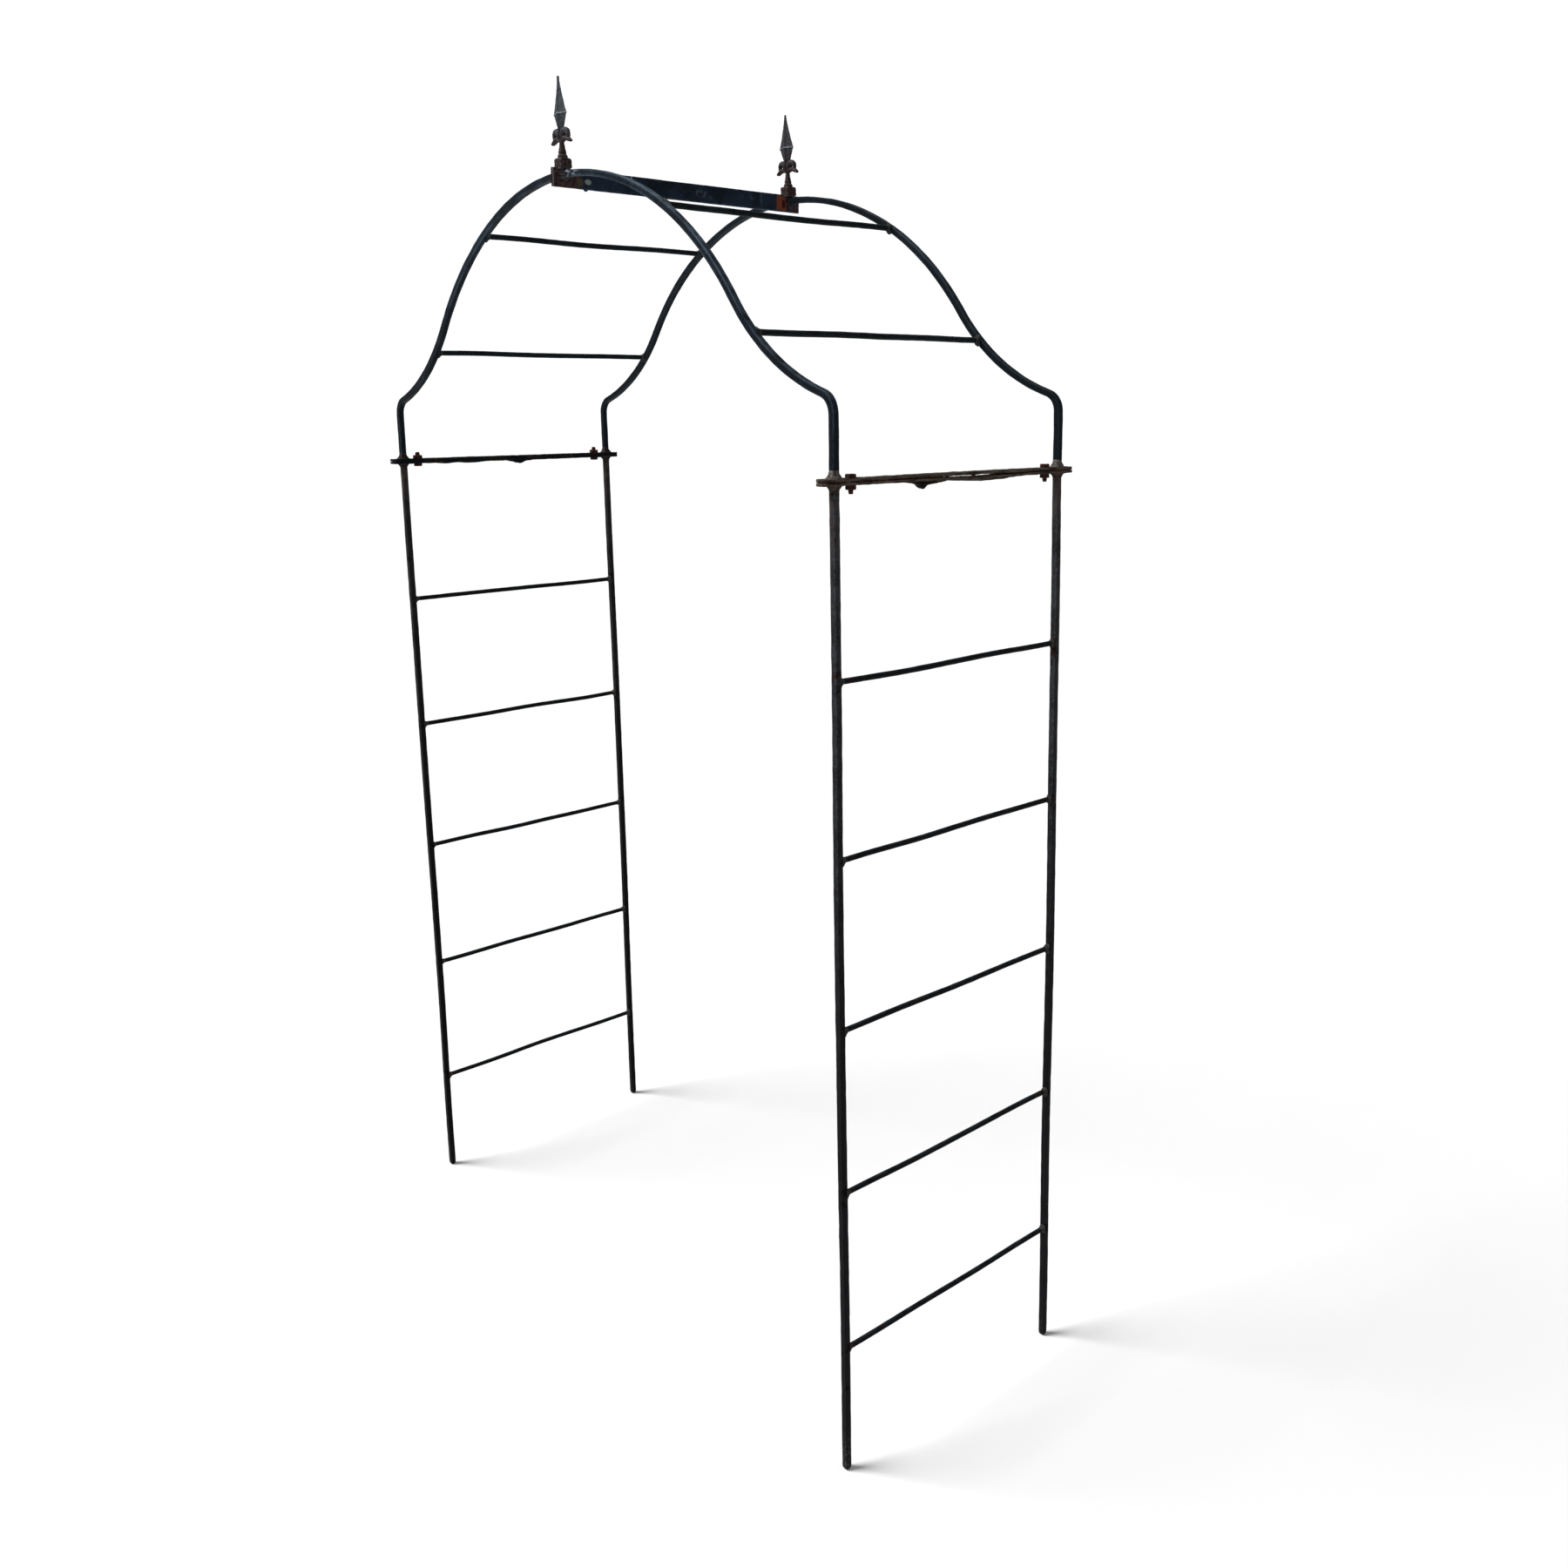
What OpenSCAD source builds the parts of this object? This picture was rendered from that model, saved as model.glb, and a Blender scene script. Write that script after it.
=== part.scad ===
// Garden trellis arch of welded steel bar.
// Two ladder panels stand in the ground and carry an ogee arch top, which is bolted down to them.
// +X runs across the walkway, +Y from the front hoop to the rear one, +Z up.
// The origin is on the ground, at the middle of the walkway.

/* [Overall] */
// Walkway width, between the centres of the left and right legs
arch_w = 1300; // [900:10:1800]
// Depth of the arch, between the centres of the front and rear legs
arch_d = 480; // [300:10:700]
// Height of a leg, from its tip to the underside of its flat bar
leg_h = 1543; // [1300:1:2000]

/* [Bars] */
// Side of the square bar of the legs and hoops
bar = 10; // [8:0.5:14]
// Diameter of the round rungs of the ladder panels
panel_rung_d = 8; // [5:0.5:10]
// Diameter of the round rungs between the two hoops
arch_rung_d = 9; // [6:0.5:10]
// Width of the flat bars that join the panels to the arch top
flat_w = 25; // [22:1:40]
// Thickness of those flat bars
flat_t = 5; // [3:0.5:8]
// How far a flat bar runs past the outside of a leg
flat_over = 17; // [5:1:40]

/* [Feet] */
// Side of the small flat at the tip of a leg
foot_tip = 5; // [3:0.5:7]
// Height over which a leg narrows to its tip
foot_taper = 9; // [4:1:40]

/* [Panel rungs] */
// Height of the lowest rung
first_rung_z = 212; // [100:1:240]
// Height from one rung to the next
rung_pitch = 264; // [180:1:264]

/* [Hoops] */
// Straight foot of a hoop, from its flat bar to the start of the shoulder bend
stub_h = 87; // [40:1:160]
// Centreline radius of the shoulder bend
shoulder_r = 30; // [12:1:40]
// Angle that the shoulder bend turns inwards
shoulder_turn = 71.5; // [60:0.5:80]
// Straight run after the shoulder bend
shoulder_run = 8; // [5:1:40]
// Centreline radius of the reverse curve that sweeps up to the crown
flare_r = 380; // [250:5:450]
// Angle that the reverse curve turns back
flare_turn = 34.5; // [28:0.5:40]
// Straight run between the reverse curve and the crown
crown_run = 6; // [2:1:30]

/* [Arch rungs] */
// Place of the lower arch rung, as an angle along the reverse curve
lower_rung_turn = 25; // [12:0.5:27]
// Place of the upper arch rung, as an angle down from the top of the crown
upper_rung_drop = 30; // [15:0.5:34]

/* [Ridge bar] */
// Thickness of the flat bar on edge that joins the hoop halves at the top
ridge_t = 6; // [4:0.5:10]
// Height of that bar
ridge_h = 30; // [24:1:50]
// Height of its top edge above the centreline of the hoops
ridge_above = 10; // [7:0.5:12]

/* [Finials] */
// Height of a finial above the ridge bar
finial_h = 142; // [115:1:200]
// Side of the square block at the foot of a finial
block_w = 20; // [16:1:28]
// Height of that block
block_h = 15; // [10:1:20]
// Chamfer round the top of the block
block_chamfer = 1.5; // [0.5:0.5:3]
// Diameter of the round moulding above the block
moulding_d = 16; // [12:0.5:18]
// Diameter of the thin stem above the moulding
stem_d = 7.5; // [5:0.5:10]
// Width of the spear head at its widest
spear_w = 30; // [20:1:40]
// Thickness of the spear head there, across its centre ribs
spear_t = 9; // [5:0.5:14]
// Reach of a leaf curl, from the middle of the stem to its tip
curl_reach = 24; // [20:1:30]
// Thickness of a leaf curl
curl_t = 8; // [4:0.5:12]

/* [Bolts] */
// Thread diameter of the clamp bolts
bolt_d = 8; // [6:1:10]
// Width of bolt head and nut across their flats
hex_af = 13; // [10:0.5:17]
// Height of a bolt head
head_h = 5.5; // [4:0.5:7]
// Height of a nut
nut_h = 6.5; // [5:0.5:9]
// Length of thread that stands out past the nut
bolt_end = 6; // [2:0.5:12]
// Clearance of a bolt in its hole in the flat bars, all round
hole_clear = 0.5; // [0.2:0.1:1]
// Clearance between a bolt and its nut, all round
thread_clear = 0.05; // [0.05:0.05:0.2]
// Distance of a bolt from the centre of the nearest leg, towards the middle of the flat bar
bolt_inset = 31; // [26:1:60]

/* [Hidden] */
RUNGS = 5;
SIDES = ["left", "right"];
ENDS = ["front", "rear"];
LEVELS = ["lower", "upper"];

// Angle between the points of a drawn arc, in degrees, and sides of a round bar
arc_step = 2.5;
round_fn = 48;

// Colours
paint = [0.10, 0.14, 0.16];
rust = [0.36, 0.24, 0.18];
casting = [0.28, 0.26, 0.27];

// Levels
joint_z = leg_h + flat_t;
hoop_foot_z = joint_z + flat_t;

// Lengths between the square bars, and over the flat bars
clear_d = arch_d - bar;
flat_len = arch_d + bar + 2 * flat_over;
bolt_y = arch_d / 2 - bolt_inset;

// The hoop's centreline on the right-hand side, as three arcs.
// A heading is the direction of travel from the flat bar up to the crown, as an angle from +X.
shoulder_heading = 90 + shoulder_turn;
crown_heading = shoulder_heading - flare_turn;
shoulder_c = [arch_w / 2 - shoulder_r, hoop_foot_z + stub_h];
shoulder_end = on_circle(shoulder_c, shoulder_r, shoulder_turn);
flare_start = shoulder_end + shoulder_run * direction(shoulder_heading);
flare_c = flare_start - flare_r * direction(shoulder_heading + 90);
flare_end = on_circle(flare_c, flare_r, crown_heading + 90);
crown_start = flare_end + crown_run * direction(crown_heading);
crown_r = crown_start[0] / sin(crown_heading);
crown_c = [0, crown_start[1] + crown_r * cos(crown_heading)];
apex_z = crown_c[1] + crown_r;

// Ridge and finials
ridge_top_z = apex_z + ridge_above;

// Heights within a finial, from its foot: each stage starts where the one below ends
moulding_h = 7;
bead_h = 3;
flare_h = 18;
stem_z = block_h + moulding_h + bead_h + flare_h;
curl_z = stem_z + 7;
neck_z = stem_z + 14;
widest_z = neck_z + 27;
neck_w = 9;
neck_t = 7;
tip_w = 3;

function direction(a) = [cos(a), sin(a)];
function on_circle(c, r, a) = c + r * direction(a);
function reversed(list) = [for (i = [len(list) - 1:-1:0]) list[i]];

// Points along an arc, from angle a0 to a1
function arc(c, r, a0, a1) =
    let (n = ceil(abs(a1 - a0) / arc_step))
    [for (i = [0:n]) on_circle(c, r, a0 + (a1 - a0) * i / n)];

// One edge of the right-hand hoop half, off to the outside of its centreline.
// It starts on the flat bar and ends on the face of the ridge bar.
function hoop_edge(off) = concat(
    [[arch_w / 2 + off, hoop_foot_z]],
    arc(shoulder_c, shoulder_r + off, 0, shoulder_turn),
    arc(flare_c, flare_r - off, shoulder_heading + 90, crown_heading + 90),
    arc(crown_c, crown_r + off, crown_heading - 90, acos(ridge_t / 2 / (crown_r + off)))
);

// Places of the two arch rungs on the centreline of the right-hand hoop half
function arch_rung_at(level) =
    level == "lower"
        ? on_circle(flare_c, flare_r, shoulder_heading + 90 - lower_rung_turn)
        : on_circle(crown_c, crown_r, 90 - upper_rung_drop);

// The two sides, and the two ends, are mirror images
module on_side(s) {
    mirror([s == "left" ? 1 : 0, 0, 0])
        children();
}

module on_end(e) {
    mirror([0, e == "front" ? 1 : 0, 0])
        children();
}

// Round bar between the faces of the front and rear square bars, at a point [x, z]
module cross_bar(at, d) {
    translate([at[0], 0, at[1]])
        rotate([90, 0, 0])
            cylinder(d = d, h = clear_d, center = true, $fn = round_fn);
}

// Outline of a leg seen from one side
module leg_outline() {
    polygon([
        [-foot_tip / 2, 0],
        [foot_tip / 2, 0],
        [bar / 2, foot_taper],
        [bar / 2, leg_h],
        [-bar / 2, leg_h],
        [-bar / 2, foot_taper]
    ]);
}

module leg(s, e) {
    color(paint)
        on_side(s) on_end(e)
            translate([arch_w / 2, arch_d / 2, 0])
                intersection() {
                    rotate([90, 0, 0])
                        linear_extrude(bar, center = true) leg_outline();
                    rotate([90, 0, 90])
                        linear_extrude(bar, center = true) leg_outline();
                }
}

module panel_rung(s, i) {
    color(paint)
        on_side(s)
            cross_bar([arch_w / 2, first_rung_z + (i - 1) * rung_pitch], panel_rung_d);
}

// Flat bar with its two bolt holes, from z up
module flat_bar(s, z) {
    color(rust)
        on_side(s)
            translate([arch_w / 2, 0, z + flat_t / 2])
                difference() {
                    cube([flat_w, flat_len, flat_t], center = true);
                    for (y = [-bolt_y, bolt_y])
                        translate([0, y, 0])
                            cylinder(
                                d = bolt_d + 2 * hole_clear,
                                h = 2 * flat_t,
                                center = true,
                                $fn = round_fn
                            );
                }
}

module panel_flat_bar(s) {
    flat_bar(s, leg_h);
}

module arch_flat_bar(s) {
    flat_bar(s, joint_z);
}

module hoop(e, s) {
    color(paint)
        on_side(s) on_end(e)
            translate([0, arch_d / 2, 0])
                rotate([90, 0, 0])
                    linear_extrude(bar, center = true)
                        polygon(concat(hoop_edge(bar / 2), reversed(hoop_edge(-bar / 2))));
}

module arch_rung(s, level) {
    color(paint)
        on_side(s)
            cross_bar(arch_rung_at(level), arch_rung_d);
}

module ridge_bar() {
    color(paint)
        translate([0, 0, ridge_top_z - ridge_h / 2])
            cube([ridge_t, flat_len, ridge_h], center = true);
}

// Square block with a chamfered top, as two crossed outlines
module block() {
    intersection_for (turn = [0, 90])
        rotate([90, 0, turn])
            linear_extrude(block_w, center = true)
                polygon([
                    [-block_w / 2, 0],
                    [block_w / 2, 0],
                    [block_w / 2, block_h - block_chamfer],
                    [block_w / 2 - block_chamfer, block_h],
                    [block_chamfer - block_w / 2, block_h],
                    [-block_w / 2, block_h - block_chamfer]
                ]);
}

// Round moulding, bead, hollow flare and stem, turned about the finial's axis
module turned_stem() {
    bead_z = block_h + moulding_h;
    flare_z = bead_z + bead_h;
    bead_r = moulding_d / 2 - 2;
    stem_r = stem_d / 2;
    rotate_extrude($fn = round_fn)
        polygon([
            [0, block_h],
            [moulding_d / 2 - 1, block_h],
            [moulding_d / 2, block_h + 1.5],
            [moulding_d / 2, block_h + 3],
            [bead_r, bead_z],
            [bead_r + 0.7, bead_z + bead_h / 2],
            [bead_r - 0.5, flare_z],
            [stem_r + 1, flare_z + flare_h * 0.45],
            [stem_r, flare_z + flare_h],
            [stem_r, neck_z + 1],
            [0, neck_z + 1]
        ]);
}

// Edge of the right-hand leaf curl, seen from the front: a round shoulder, a tip that hangs
// outside, and a hollow between the tip and the stem
function curl_edge() =
    let (leaf_r = curl_reach * 0.46, tip_r = 3)
    concat(
        arc([curl_reach / 2, curl_z], leaf_r, 160, -15),
        arc([curl_reach - tip_r, curl_z - leaf_r * 0.66], tip_r, 15, -150),
        arc([curl_reach * 0.4, curl_z - leaf_r], leaf_r / 2, 25, 170)
    );

// The two leaf curls and the web between them, in one plate
module curls() {
    right = curl_edge();
    left = [for (p = reversed(right)) [-p[0], p[1]]];
    rotate([90, 0, 0])
        linear_extrude(curl_t, center = true)
            polygon(concat(right, left));
}

// Lozenge section of the spear head, w wide and t thick
function lozenge(w, t, z) = [[w / 2, 0, z], [0, t / 2, z], [-w / 2, 0, z], [0, -t / 2, z]];

// Number of the next corner round a lozenge: corner i + 1 of ring k
function next_corner(k, i) = 4 * k + (i + 1) % 4;

// Flat spear head with a rib down the middle of each face
module spear_head() {
    rings = [
        lozenge(neck_w, neck_t, neck_z),
        lozenge(spear_w, spear_t, widest_z),
        lozenge(tip_w, tip_w, finial_h)
    ];
    last = 4 * (len(rings) - 1);
    polyhedron(
        points = [for (ring = rings, p = ring) p],
        faces = concat(
            [[0, 1, 2, 3]],
            [for (k = [0:len(rings) - 2], i = [0:3]) [4 * k + i, 4 * k + i + 4, next_corner(k + 1, i)]],
            [for (k = [0:len(rings) - 2], i = [0:3]) [4 * k + i, next_corner(k + 1, i), next_corner(k, i)]],
            [[last + 3, last + 2, last + 1, last]]
        )
    );
}

module finial(e) {
    color(casting)
        on_end(e)
            translate([0, arch_d / 2, ridge_top_z]) {
                block();
                turned_stem();
                curls();
                spear_head();
            }
}

// Right-hand bolts have their heads on top, and left-hand ones hang head down
module at_bolt(s, e) {
    on_side(s) on_end(e)
        translate([arch_w / 2, bolt_y, joint_z])
            mirror([0, 0, s == "left" ? 1 : 0])
                children();
}

module hexagon(h) {
    cylinder(d = hex_af / cos(30), h = h, $fn = 6);
}

module bolt(s, e) {
    shank = 2 * flat_t + nut_h + bolt_end;
    color(rust)
        at_bolt(s, e) {
            translate([0, 0, flat_t])
                hexagon(head_h);
            translate([0, 0, flat_t - shank])
                cylinder(d = bolt_d, h = shank, $fn = round_fn);
        }
}

module nut(s, e) {
    color(rust)
        at_bolt(s, e)
            translate([0, 0, -flat_t - nut_h])
                difference() {
                    hexagon(nut_h);
                    translate([0, 0, -1])
                        cylinder(d = bolt_d + 2 * thread_clear, h = nut_h + 2, $fn = round_fn);
                }
}

for (s = SIDES) {
    for (e = ENDS) {
        leg(s, e);
        hoop(e, s);
        bolt(s, e);
        nut(s, e);
    }
    for (i = [1:RUNGS])
        panel_rung(s, i);
    for (level = LEVELS)
        arch_rung(s, level);
    panel_flat_bar(s);
    arch_flat_bar(s);
}
for (e = ENDS)
    finial(e);
ridge_bar();
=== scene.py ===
import math

import bmesh
import bpy
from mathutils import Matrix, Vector, noise


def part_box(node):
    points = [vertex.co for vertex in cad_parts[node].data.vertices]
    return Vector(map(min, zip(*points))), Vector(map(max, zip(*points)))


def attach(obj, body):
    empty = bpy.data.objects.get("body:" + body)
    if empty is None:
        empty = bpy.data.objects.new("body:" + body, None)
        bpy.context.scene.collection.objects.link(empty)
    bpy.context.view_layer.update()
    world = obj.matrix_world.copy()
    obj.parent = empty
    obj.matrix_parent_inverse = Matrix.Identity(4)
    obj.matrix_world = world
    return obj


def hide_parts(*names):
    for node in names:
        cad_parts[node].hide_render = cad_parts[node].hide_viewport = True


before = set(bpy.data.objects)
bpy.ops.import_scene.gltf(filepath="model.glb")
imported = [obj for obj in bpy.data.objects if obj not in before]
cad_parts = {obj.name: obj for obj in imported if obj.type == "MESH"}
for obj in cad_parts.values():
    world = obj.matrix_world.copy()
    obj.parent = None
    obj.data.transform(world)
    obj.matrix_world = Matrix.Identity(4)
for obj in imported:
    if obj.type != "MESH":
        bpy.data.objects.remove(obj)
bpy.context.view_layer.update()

MM = 0.001
SIDES = {"left": -1, "right": 1}
ENDS = {"front": -1, "rear": 1}
RUNGS = (1, 2, 3, 4, 5)
LEVELS = ("lower", "upper")


# -------- places taken from the frame
def span(node):
    """Lowest and highest corner of a CAD node, in millimetres."""
    low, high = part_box(node)
    return low / MM, high / MM


def middle(node):
    low, high = span(node)
    return (low + high) / 2


leg_low, leg_high = span("right_front_leg")
BAR = leg_high.x - leg_low.x
LEG_X = (leg_low.x + leg_high.x) / 2
LEG_Y = span("right_rear_leg")[1].y - BAR / 2
LEG_TOP = leg_high.z
JOINT_Z = span("right_panel_flat_bar")[1].z
HOOP_FOOT_Z = span("right_arch_flat_bar")[1].z
RIDGE_LOW, RIDGE_HIGH = span("ridge_bar")

# Centreline of a hoop half, as in the CAD source: straight foot, shoulder, reverse curve, crown
STUB_H = 87
SHOULDER_R = 30
SHOULDER_TURN = 71.5
SHOULDER_RUN = 8
FLARE_R = 380
FLARE_TURN = 34.5
CROWN_RUN = 6

# Height above the ridge where the spear of a finial is widest
WIDEST = 84


# -------- meshes
class Shell:
    """Closed skins gathered into one mesh, in millimetres."""

    def __init__(self):
        self.points = []
        self.faces = []

    def ring(self, points):
        first = len(self.points)
        self.points.extend(points)
        return list(range(first, len(self.points)))

    def band(self, a, b):
        count = len(a)
        for i in range(count):
            j = (i + 1) % count
            self.faces.append((a[i], a[j], b[j], b[i]))

    def lid(self, ring, centre):
        tip = self.ring([centre])[0]
        for i in range(len(ring)):
            self.faces.append((ring[i], ring[(i + 1) % len(ring)], tip))

    def loft(self, rings, closed=False):
        """Skins a list of point rings. Lids close its ends unless the rings run round in a loop."""
        made = [self.ring(points) for points in rings]
        for a, b in zip(made, made[1:]):
            self.band(a, b)
        if closed:
            self.band(made[-1], made[0])
            return
        for ring, points in ((made[0], rings[0]), (made[-1], rings[-1])):
            self.lid(ring, sum(points, Vector()) / len(points))


def tidy_normals(mesh):
    bm = bmesh.new()
    bm.from_mesh(mesh)
    bmesh.ops.recalc_face_normals(bm, faces=bm.faces)
    bm.to_mesh(mesh)
    bm.free()


SEED_STRIDE = (3.71, 1.93, 5.17)


def roughen(mesh, lumps, seed):
    """Moves each point along its normal by smooth noise. lumps holds (height, width) pairs in mm."""
    offset = Vector([seed * stride for stride in SEED_STRIDE])
    mesh.update()
    normals = [v.normal.copy() for v in mesh.vertices]
    for vertex, normal in zip(mesh.vertices, normals):
        push = 0.0
        for height, width in lumps:
            push += height * noise.noise(vertex.co / (MM * width) + offset)
        vertex.co += normal * push * MM


WELDS = []
WELD_REACH = 16
EDGE_GAIN = 5


def mark(mesh):
    """Gives each point how convex the surface is there, and how near it is to a weld."""
    bm = bmesh.new()
    bm.from_mesh(mesh)
    bm.normal_update()
    edge = []
    for v in bm.verts:
        bend = 0.0
        for e in v.link_edges:
            away = (e.other_vert(v).co - v.co).normalized()
            bend -= v.normal.dot(away)
        edge.append(min(1.0, max(0.0, EDGE_GAIN * bend / max(1, len(v.link_edges)))))
    joint = []
    for v in bm.verts:
        place = v.co / MM
        near = min((place - w).length for w in WELDS)
        joint.append(math.exp(-((near / WELD_REACH) ** 2)))
    bm.free()
    for name, values in (("edge", edge), ("joint", joint)):
        layer = mesh.attributes.new(name, "FLOAT", "POINT")
        layer.data.foreach_set("value", values)


def into_scene(obj):
    bpy.context.scene.collection.objects.link(obj)


def shell_object(name, shell):
    """A shell as an object of the scene, in metres."""
    mesh = bpy.data.meshes.new(name)
    mesh.from_pydata([p * MM for p in shell.points], [], shell.faces)
    tidy_normals(mesh)
    obj = bpy.data.objects.new(name, mesh)
    into_scene(obj)
    return obj


def piece(name, shell, material, slot, nodes, lumps, seed):
    """Turns a shell into a finished piece of the arch."""
    finish_piece(shell_object(name, shell), material, nodes, lumps, seed)


def lofted(name, rings, *details):
    """A piece that is one skin over a list of rings."""
    shell = Shell()
    shell.loft(rings)
    piece(name, shell, *details)


def finish_piece(obj, material, nodes, lumps, seed):
    """Gives a mesh its lumps and look, and hides the CAD nodes it stands for."""
    mesh = obj.data
    roughen(mesh, lumps, seed)
    mark(mesh)
    mesh.polygons.foreach_set("use_smooth", [True] * len(mesh.polygons))
    mesh.materials.clear()
    mesh.materials.append(material)
    mesh.update()
    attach(obj, "root")
    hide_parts(*nodes)


# -------- sections and paths
CORNER_STEPS = 3


def rounded(width, height, corner, pitch):
    """Outline of a bar with rounded corners, as (a, b) pairs about pitch apart on its flats."""
    outline = []
    quarters = ((1, 1, 0), (-1, 1, 90), (-1, -1, 180), (1, -1, 270))
    for i, (sa, sb, start) in enumerate(quarters):
        ca = sa * (width / 2 - corner)
        cb = sb * (height / 2 - corner)
        for step in range(CORNER_STEPS + 1):
            angle = math.radians(start + 90 / CORNER_STEPS * step)
            outline.append((ca + corner * math.cos(angle), cb + corner * math.sin(angle)))
        na, nb, turn = quarters[(i + 1) % 4]
        goal = math.radians(turn)
        last = outline[-1]
        goal_a = na * (width / 2 - corner) + corner * math.cos(goal)
        goal_b = nb * (height / 2 - corner) + corner * math.sin(goal)
        length = math.hypot(goal_a - last[0], goal_b - last[1])
        inner = max(2, round(length / pitch))
        for step in range(1, inner):
            t = step / inner
            outline.append((last[0] + (goal_a - last[0]) * t, last[1] + (goal_b - last[1]) * t))
    return outline


def turns(count):
    """Evenly spaced angles round a circle."""
    return [2 * math.pi * i / count for i in range(count)]


def circle(radius, count):
    return [(radius * math.cos(t), radius * math.sin(t)) for t in turns(count)]


def section(centre, a, b, outline, size=1.0):
    """An outline of (a, b) pairs set out round a centre, along two directions."""
    return [centre + a * (p * size) + b * (q * size) for p, q in outline]


def steps(low, high, pitch):
    """Evenly spaced values from low to high, about pitch apart."""
    count = max(1, round((high - low) / pitch))
    return [low + (high - low) * i / count for i in range(count + 1)]


WANDER_STRIDE = 4.37


def wander(seed, place, length, amount):
    """Small sideways drift at one place along a bar that was never quite straight."""
    return amount * noise.noise(Vector((place / length, seed * WANDER_STRIDE, 0.5)))


X = Vector((1, 0, 0))
Y = Vector((0, 1, 0))
Z = Vector((0, 0, 1))


# -------- materials
def colour(r, g, b):
    """Scene colour of a display colour given from 0 to 255."""
    shares = [v / 255 for v in (r, g, b)]
    return tuple(s / 12.92 if s <= 0.04045 else ((s + 0.055) / 1.055) ** 2.4 for s in shares) + (1.0,)


def shade(base, amount):
    """The same colour, darker or lighter by a factor."""
    return tuple(min(1.0, amount * c) for c in base[:3]) + (1.0,)


class Look:
    """One procedural material, built node by node."""

    def __init__(self, name, specular):
        self.material = bpy.data.materials.new(name)
        self.material.use_nodes = True
        self.tree = self.material.node_tree
        self.shader = self.tree.nodes["Principled BSDF"]
        self.shader.inputs["Specular IOR Level"].default_value = specular
        self.place = self.add("ShaderNodeTexCoord").outputs["Object"]
        self.normal = self.add("ShaderNodeNewGeometry").outputs["Normal"]

    def add(self, kind, sockets=None, **settings):
        node = self.tree.nodes.new(kind)
        for key, value in settings.items():
            setattr(node, key, value)
        for key, value in (sockets or {}).items():
            self.plug(node.inputs[key], value)
        return node

    def plug(self, socket, value):
        if isinstance(value, bpy.types.NodeSocket):
            self.tree.links.new(value, socket)
        else:
            socket.default_value = value

    def noise(self, width, seed, detail=3.0, stretch=(1, 1, 1)):
        """Noise with features about width mm across, longer along an axis whose stretch is more than 1."""
        scale = tuple(1 / (MM * width * s) for s in stretch)
        shift = (seed, seed * 2, seed * 3)
        moved = self.add("ShaderNodeMapping", {0: self.place, "Location": shift, "Scale": scale})
        node = self.add("ShaderNodeTexNoise", {"Vector": moved.outputs[0], "Scale": 1.0, "Detail": detail})
        return node.outputs[0]

    def mask(self, value, low, high):
        """0 at low, 1 at high, and smooth between them."""
        node = self.add(
            "ShaderNodeMapRange",
            {"Value": value, "From Min": low, "From Max": high},
            interpolation_type="SMOOTHSTEP",
        )
        return node.outputs[0]

    def spots(self, low, high, width, seed, detail=3.0, stretch=(1, 1, 1)):
        """Noise as a mask: 0 where it is under low, 1 where it is over high."""
        return self.mask(self.noise(width, seed, detail, stretch), low, high)

    def maths(self, how, a, b):
        return self.add("ShaderNodeMath", {0: a, 1: b}, operation=how).outputs[0]

    def times(self, *values):
        result = values[0]
        for value in values[1:]:
            result = self.maths("MULTIPLY", result, value)
        return result

    def plus(self, *values):
        result = values[0]
        for value in values[1:]:
            result = self.maths("ADD", result, value)
        return result

    def mix(self, share, a, b):
        """a where share is 0, b where it is 1."""
        node = self.add("ShaderNodeMix", {0: share, 6: a, 7: b}, data_type="RGBA")
        return node.outputs[2]

    def axis(self, name, vector=None):
        node = self.add("ShaderNodeSeparateXYZ", {0: vector or self.place})
        return node.outputs[name]

    def marked(self, name):
        """One of the values that mark() left on the mesh: edge or joint."""
        return self.add("ShaderNodeAttribute", attribute_name=name).outputs["Fac"]

    def near(self, x, y, z, radius, soft, squeeze=(1, 1, 1)):
        """A spot round a point in mm, with its own width along each axis."""
        scale = tuple(1 / s for s in squeeze)
        point = tuple(MM * v * k for v, k in zip((x, y, z), scale))
        scaled = self.add("ShaderNodeVectorMath", {0: self.place, 1: scale}, operation="MULTIPLY")
        away = self.add("ShaderNodeVectorMath", {0: scaled.outputs[0], 1: point}, operation="DISTANCE")
        return self.mask(away.outputs["Value"], MM * (radius + soft), MM * radius)

    def finish(self, base, roughness, height, depth):
        """Connects colour, roughness and bump. depth is how far the bump stands out, in mm."""
        bump = self.add("ShaderNodeBump", {"Strength": 1.0, "Distance": MM * depth, "Height": height})
        self.plug(self.shader.inputs["Base Color"], base)
        self.plug(self.shader.inputs["Roughness"], roughness)
        self.plug(self.shader.inputs["Normal"], bump.outputs[0])
        return self.material


RUST = colour(38, 22, 18)
PALE_SPECK = colour(112, 114, 112)


def coat(look, grain, paint, faded, wear_and_highlight, dust_and_top_light, mottle, rub_and_highlight_length):
    """Patchy old paint, mottled, dusty and lit by painted top light on upward faces, and worn bright along
    the edges with a painted highlight there.
    """
    patches = look.spots(0.35, 0.62, 50, detail=4, seed=1)
    base = look.mix(patches, shade(paint, 0.4), paint)
    base = look.mix(look.times(look.mask(grain, 0.46, 0.72), mottle), base, faded)
    # Upward faces turn towards the faded colour: a dusting, and painted top light.
    upward = look.mask(look.axis("Z", look.normal), 0.2, 0.95)
    settled = look.spots(0.3, 0.65, 18, seed=3)
    base = look.mix(look.times(upward, settled, dust_and_top_light), base, faded)
    # Convex edges turn light: worn paint, and a painted highlight along them.
    worn = look.spots(0.38, 0.6, rub_and_highlight_length, detail=4, seed=4)
    return look.mix(look.times(look.marked("edge"), worn, wear_and_highlight), base, shade(faded, 3.2))


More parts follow.
